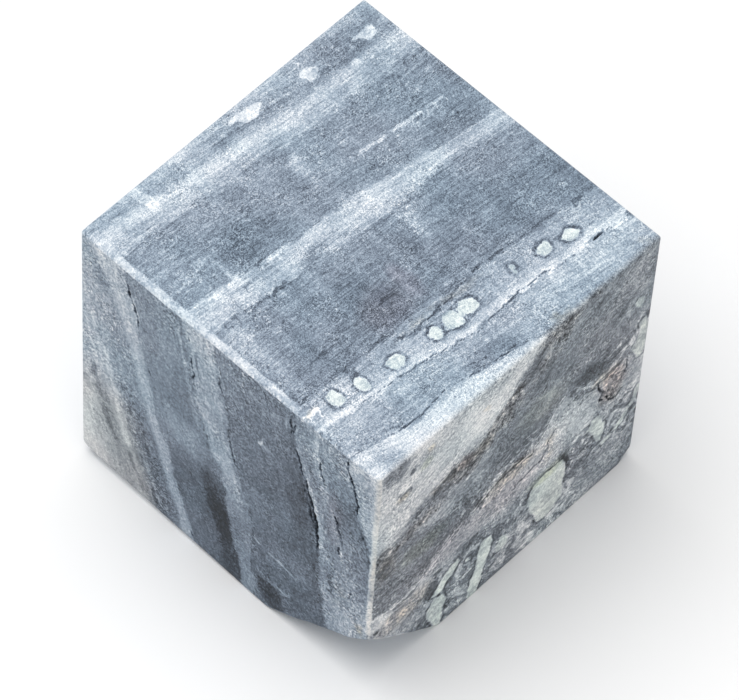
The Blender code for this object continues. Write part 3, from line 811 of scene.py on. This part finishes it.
# the left face shows the streaks end on, so they hardly show there
calm = 1.0 - kept("down") * 0.65
wobble = (waver * 4.0 + streak * calm * 4.0 + ripple * 2.5 + fuzz * 1.5) * (1.0 + turned_wire * 0.5)
bed_wire = kept("bed") + wobble
LOW_BED, BED_SPAN = -62.0, 140.0
# The tones of the beds, as bed number and grey from 0 to 255: on the top, down the left face,
# at its foot, and on the right face. Down the left face and at its foot they also hold painted shade that
# deepens towards the floor.
TOP_TONES = (
    (-62, 205), (-44, 210), (-42.4, 196), (-41.6, 176), (-41, 156), (-38, 158), (-34, 170), (-31.4, 162),
    (-30.9, 204), (-30.0, 206), (-29.1, 176), (-26, 164), (-22.8, 158), (-22, 132), (-12, 130), (5.4, 140),
    (6.6, 166), (10, 190), (12.2, 190), (13.4, 176), (15.8, 190), (16.6, 148), (18.5, 140), (36.8, 142),
    (38.2, 172), (41, 178), (44.6, 204), (46.2, 196), (48, 165), (50, 157), (53, 184), (78, 160),
)
LEFT_TONES = (
    (-62, 180), (-42.6, 172), (-41.4, 118), (-37, 124), (-33, 134), (-30, 148), (-26.5, 130), (-24.4, 156),
    (-22.8, 170), (-22.2, 92), (-20, 94), (-16, 110), (0, 122), (6, 124), (7.2, 152), (9, 170), (14.4, 168),
    (15.8, 158), (16.6, 131), (25, 134), (37, 143), (38.2, 168), (43, 184), (45.4, 178), (46.6, 152),
    (48.4, 150), (50.5, 164), (54.4, 168), (56.6, 186), (59, 188), (61, 174), (78, 192),
)
FOOT_TONES_WITH_SHADE = (
    (-62, 172), (-34, 170), (-24, 150), (-22.4, 146), (-21.6, 100), (-12, 110), (0, 108), (5.4, 112),
    (6.6, 138), (11, 144), (15, 142), (16.2, 124), (16.8, 66), (22, 66), (26, 96), (34, 112), (37, 106),
    (38, 150), (40, 166), (43.4, 170), (44.8, 140), (46, 116), (48.6, 110), (50.6, 132), (54, 156),
    (56, 180), (58, 152), (61.4, 150), (65, 176), (74, 205),
)
RIGHT_TONES = (
    (-62, 192), (-50, 196), (-43, 196), (-41.4, 182), (-40.8, 112), (-40, 124), (-37, 134), (-33, 126),
    (-31.3, 118), (-30.8, 176), (-29.6, 162), (-27, 160), (-26, 168), (-25.6, 112), (-14, 112),
)


def tones(stops):
    """The tone of each bed, from its number."""
    places = [((number - LOW_BED) / BED_SPAN, (tone / 255,) * 3 + (1,)) for number, tone in stops]
    return Wire.node("ShaderNodeValToRGB", {"stops": places}, {"Fac": (bed_wire - LOW_BED) / BED_SPAN})


grey = blend(kept("low"), blend(kept("down"), tones(TOP_TONES), tones(LEFT_TONES)), tones(FOOT_TONES_WITH_SHADE))
grey = blend(turned_wire, grey, tones(RIGHT_TONES))
wisps = step(streak, 0.07, 0.15) * 0.06 - step(-1.0 * streak, 0.07, 0.15) * 0.06
uneven = (wisps + streak * 0.2) * calm + felt * (calm * 0.2 + flat_top * 0.55 + 0.05)
uneven = uneven + mottle * (0.14 - flat_top * 0.04)
patch = grain(spot, 7.0, 3.0, 0.5)
# the stone is coarse here and fine there
coarse = step(grain(spot, 4.0, 2.0), -0.06, 0.14)
sparkle = (fuzz * (0.75 - flat_top * 0.35) + crystal * (0.6 - flat_top * 0.06)) * (coarse * 0.3 + 0.6)
# on the left face some beds are smoother than others: where each starts and stops, how much
SMOOTH_BEDS = ((16, 17.5, 45, 48, 0.45), (-22, -20, 4, 6, 0.3), (5, 7, 15, 16.5, 0.35))
smooth = step(bed_wire, 50.0, 54.0) * kept("low") * 0.5
for before, start, stop, after, share in SMOOTH_BEDS:
    smooth = smooth + step(bed_wire, before, start) * (1.0 - step(bed_wire, stop, after)) * share
sparkle = sparkle * (1.0 - smooth * kept("down"))
grey = grey + kept("cloud") + uneven * (1.0 - flat_top * 0.45) + patch * (turned_wire * 0.35 + 0.1) + sparkle
grey = grey + rubbing * flat_top * 0.2
flecks = step(grain(spot, 0.6, 1.0), 0.13, 0.2) * 0.12 - step(grain(spot, 0.55, 1.5), 0.14, 0.2) * 0.12
grey = grey + flecks * (coarse * 0.5 + 0.4) * (flat_top * 0.3 + 0.6)

# below the pale band the right face is dark stone full of small pale curls
low_corner = step(x_mm + waver * 20.0, 22.0, 32.0) * (1.0 - step(z_mm + waver * 20.0, 12.0, 22.0))
pebbly = step(bed_wire, -26.0, -25.4) * turned_wire * (1.0 - low_corner * 0.65)
curled = {"Vector": spot, "Scale": 150.0, "Detail": 4.0, "Roughness": 0.55, "Distortion": 2.2}
curl = Wire.node("ShaderNodeTexNoise", {}, curled) - 0.5
curls = step(curl, 0.0, 0.06) * 0.2 + step(curl, 0.1, 0.14) * 0.1 - step(-1.0 * curl, 0.05, 0.1) * 0.08
grey = grey + pebbly * curls

# thin dark seams open here and there between the beds: bed number, which noise, how dark
SEAMS = (
    (38.0, 0.1, 0.1), (16.2, 0.2, 0.16), (6.2, 0.3, 0.16),
    (-22.0, 0.4, 0.12), (-31.2, 0.5, 0.15), (-41.0, 0.6, 0.18),
)
for number, shift, dark in SEAMS:
    apart = abs(bed_wire - number) * (1.0 + turned_wire * 1.4)
    moved = Wire.node("ShaderNodeVectorMath", {"operation": "ADD"}, {0: spot, 1: (shift, 0, 0)})
    present = step(grain(moved, 7.0, 3.0), -0.02, 0.06)
    grey = grey - (1.0 - step(apart, 0.12, 0.38)) * present * dark

# where the pale lens of the right face ends, the stone is dark and crumbled
LENS_END = -39.8
fringe = 1.0 - step(abs(kept("bed") - LENS_END + waver * 8.0), 0.6, 2.4)
crumbled = fringe * step(grain(spot, 9.0, 2.0), -0.1, 0.04)
# and so it is in three ovals: centre across and up, half sizes
for across, upward, half_across, half_up in ((-1, 47, 11, 4.5), (38, 47, 5, 8), (-39, 24, 8, 5)):
    off, rise = x_mm - across, z_mm - upward
    oval = off * off / half_across**2 + rise * rise / half_up**2
    crumbled = crumbled + (1.0 - step(oval + waver * 5.0, 0.4, 1.3)) * 0.75
crumbled = crumbled * turned_wire
grey = grey + crumbled * (ripple * 1.2 + fuzz * 0.8 - 0.045)

# shards with plain edges
in_shard = 1.0 - step(kept("shard") + ripple * 2.2 + waver * 3.0 + fuzz * 0.6, -0.25, 0.25)
grey = grey + in_shard * kept("shard_tone")

# the drawn marks, with ragged sides
on_mark = 1.0 - step(abs(kept("beside") + ripple * 1.6 + fuzz * 1.2), 0.6, 1.1)
worn_away = step(grain(spot, 2.2, 2.0), -0.12, 0.0)
grey = grey + on_mark * kept("mark") * (0.3 + worn_away * 0.8)

clast_edge = kept("clast") - 0.1 + waver * 3.0 + ripple * 2.2 + fuzz * 0.7
inclusion = 1.0 - step(clast_edge, -0.15 - turned_wire * 0.4, 0.15 + turned_wire * 0.3)
halo = step(clast_edge, 0.0, 0.3) * (1.0 - step(clast_edge, 0.4, 1.3)) * (0.7 + mottle * 3.0)
grey = grey - halo * green_wire * (0.2 + flat_top * 0.08)
speckle = mottle * 0.6 + fuzz * 0.5 + crystal * 0.2 + streak * 0.3
dimmer = green_wire * flat_top * 0.025 + turned_wire * step(x_mm, 42.0, 45.0) * 0.1
grey = blend(inclusion * (0.93 - turned_wire * 0.05), grey, speckle + (0.85 - dimmer))

fissure_dirt_and_shade_wire = kept("fissure_dirt_and_shade")
# the rims of the fissures are lightened: a painted highlight
grey = grey + kept("fissure_rim_highlight") * (mottle * 0.7 + 0.07) * (1.0 - fissure_dirt_and_shade_wire)

# rubbed arrises: a narrow pale strip down the front arris and one along the left top arris
ragged = ripple * 1.6 + fuzz * 0.8
front = 1.0 - step(x_mm + (WIDE / 2 - 1.0) + ragged, -0.2, 0.2)
front = front * (1.0 - step(y_mm + (DEEP / 2 - 1.3) + ragged, -0.2, 0.2))
side = (1.0 - step(x_mm + (WIDE / 2 - 2.0) + ragged, -0.2, 0.2)) * step(z_mm, TALL - 1.4, TALL - 0.9)
side = side * step(y_mm + waver * 30.0, -26.0, -19.0) * (1.0 - step(y_mm, 38.0, 41.0))
# the front strip ends where the corner broke off
rubbed = front * step(z_mm, 26.0, 29.0)
grey = blend(rubbed * (0.9 + mottle * 1.2), grey, fuzz * 0.4 + crystal * 0.2 + mottle * 0.4 + 0.84)
grey = blend(side * (0.88 + mottle * 1.4), grey, fuzz * 0.4 + crystal * 0.25 + mottle * 0.4 + 0.79)
# the fissures are darkened, partly as dirt and partly as painted shade in the grooves
grey = grey * (1.0 - fissure_dirt_and_shade_wire * 0.8)

COOL_STONE = (
    (0.0, seen(12, 14, 17)), (0.2, seen(43, 50, 59)), (0.35, seen(78, 88, 101)), (0.49, seen(111, 124, 139)),
    (0.59, seen(136, 150, 165)), (0.69, seen(161, 176, 191)), (0.78, seen(192, 202, 211)),
    (0.88, seen(220, 227, 232)), (1.0, seen(247, 250, 252)),
)
WARM_STONE = (
    (0.0, seen(14, 14, 15)), (0.2, seen(48, 50, 53)), (0.35, seen(86, 89, 92)), (0.49, seen(123, 126, 129)),
    (0.69, seen(176, 177, 177)), (0.88, seen(224, 225, 223)), (1.0, seen(250, 250, 247)),
)
cool = Wire.node("ShaderNodeValToRGB", {"stops": COOL_STONE}, {"Fac": grey})
warm = Wire.node("ShaderNodeValToRGB", {"stops": WARM_STONE}, {"Fac": grey})
colour = blend_colour(turned_wire * 0.55 + kept("low") * step(bed_wire, 47.0, 54.0) * 0.7, cool, warm)
# the whole stone drifts between a bluer and a rosier grey
hue = step(grain(spot, 14.0, 2.0), -0.15, 0.15)
cast = blend_colour(hue, (0.975, 1.003, 1.01, 1), (1.02, 0.995, 0.995, 1))
rosy_wire = kept("rosy")
# where each tint lies, and the colour that it multiplies the stone by
TINTS = (
    (1.0, cast),
    (inclusion * green_wire * 0.7, (0.95, 1.0, 0.93, 1)),
    (kept("ochre") * step(mottle, -0.12, 0.08), (1.0, 0.9, 0.77, 1)),
    (crumbled * 0.8, (1.02, 0.95, 0.89, 1)),
    (step(rosy_wire, 0.0, 1.0), (1.04, 0.95, 0.95, 1)),
    (step(-1.0 * rosy_wire, 0.0, 1.0), (0.97, 0.985, 0.87, 1)),
    (rubbed * 0.7, (1.03, 1.0, 0.95, 1)),
)
for share, tint in TINTS:
    colour = blend_colour(share, colour, tint, "MULTIPLY")

rough_break = kept("broken")
relief = fuzz * 0.6 + mottle * 0.4 + rough_break * mottle * 2.0
bump = Wire.node("ShaderNodeBump", {}, {"Strength": 0.35, "Distance": 0.6 * MM, "Height": relief})
roughness = 0.6 + fuzz * 0.25 + fissure_dirt_and_shade_wire * 0.3 + rough_break * 0.2
look = {"Base Color": colour, "Roughness": roughness, "Normal": bump, "Specular IOR Level": 0.2, "IOR": 1.5}
Wire.node("ShaderNodeOutputMaterial", {}, {"Surface": Wire.node("ShaderNodeBsdfPrincipled", {}, look)})
block.data.materials.append(marble)

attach(block, "root")
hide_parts("marble_block")


# ---------------------------------------------------------------- floor and light
# A sheet of white board under a broad even sky of light. One large soft lamp hangs high on
# the left and throws a faint shadow to the right, and a weak one fills in from the right.
bpy.ops.object.select_all(action="DESELECT")
bpy.ops.mesh.primitive_plane_add(size=4.0, location=(0, 0, 0))
floor = bpy.context.object
floor.name = "floor"
paper = bpy.data.materials.new("white_board")
paper.use_nodes = True
board = paper.node_tree.nodes["Principled BSDF"]
board.inputs["Base Color"].default_value = (0.92, 0.92, 0.92, 1)
board.inputs["Roughness"].default_value = 0.9
board.inputs["Specular IOR Level"].default_value = 0.1
floor.data.materials.append(paper)
floor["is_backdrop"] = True

world = bpy.data.worlds.new("studio")
world.use_nodes = True
world.node_tree.nodes["Background"].inputs["Color"].default_value = (1, 1, 1, 1)
world.node_tree.nodes["Background"].inputs["Strength"].default_value = 0.42
bpy.context.scene.world = world


def soft_light(name, size, power, way):
    """A square lamp that faces the block from that way, a metre and a half off."""
    lamp = bpy.data.objects.new(name, bpy.data.lights.new(name, "AREA"))
    lamp.data.shape = "SQUARE"
    lamp.data.size = size
    lamp.data.energy = power
    bpy.context.scene.collection.objects.link(lamp)
    towards = Vector(way).normalized()
    lamp.location = towards * 1.5
    lamp.rotation_mode = "QUATERNION"
    lamp.rotation_quaternion = towards.to_track_quat("Z", "Y")


soft_light("lamp", 1.3, 20.0, (-0.14, 0.17, 0.97))
soft_light("fill", 0.9, 3.0, (0.25, -0.9, 0.36))

bpy.context.scene.view_settings.view_transform = "Standard"

low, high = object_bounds()
